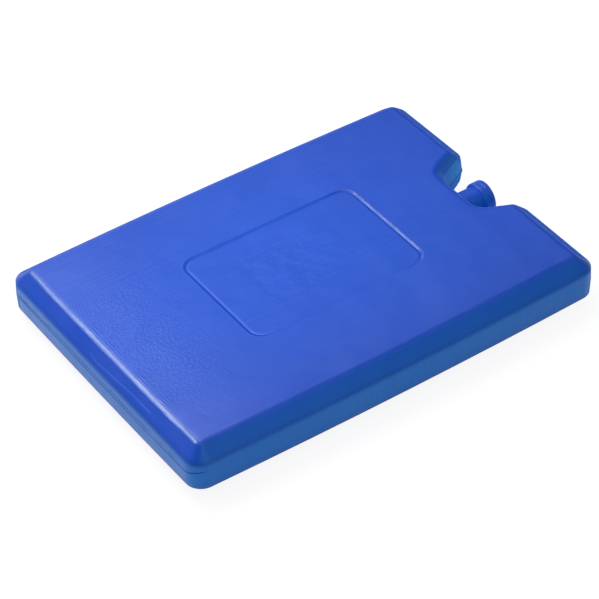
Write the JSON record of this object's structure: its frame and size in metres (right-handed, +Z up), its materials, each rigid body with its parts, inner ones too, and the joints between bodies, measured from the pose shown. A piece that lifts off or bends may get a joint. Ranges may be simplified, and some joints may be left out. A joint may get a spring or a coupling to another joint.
{
  "type": "reusable ice pack",
  "caption": "Flat rectangular reusable ice pack with a bevelled rim, a shallow label recess and an end notch round its plugged filling neck.",
  "frame": {"origin": "middle of the outline on the flat underside that the pack rests on", "axes": "+X towards the notched end with the filling neck, +Y across the width, +Z up through the thickness"},
  "size_m": [0.2802, 0.2002, 0.0335],
  "materials": {
    "container": "satin blue polyethylene",
    "plug": "satin blue polyethylene"
  },
  "bodies": {
    "root": {"pack_body": "container", "filler_plug": "plug"}
  },
  "joints": []
}
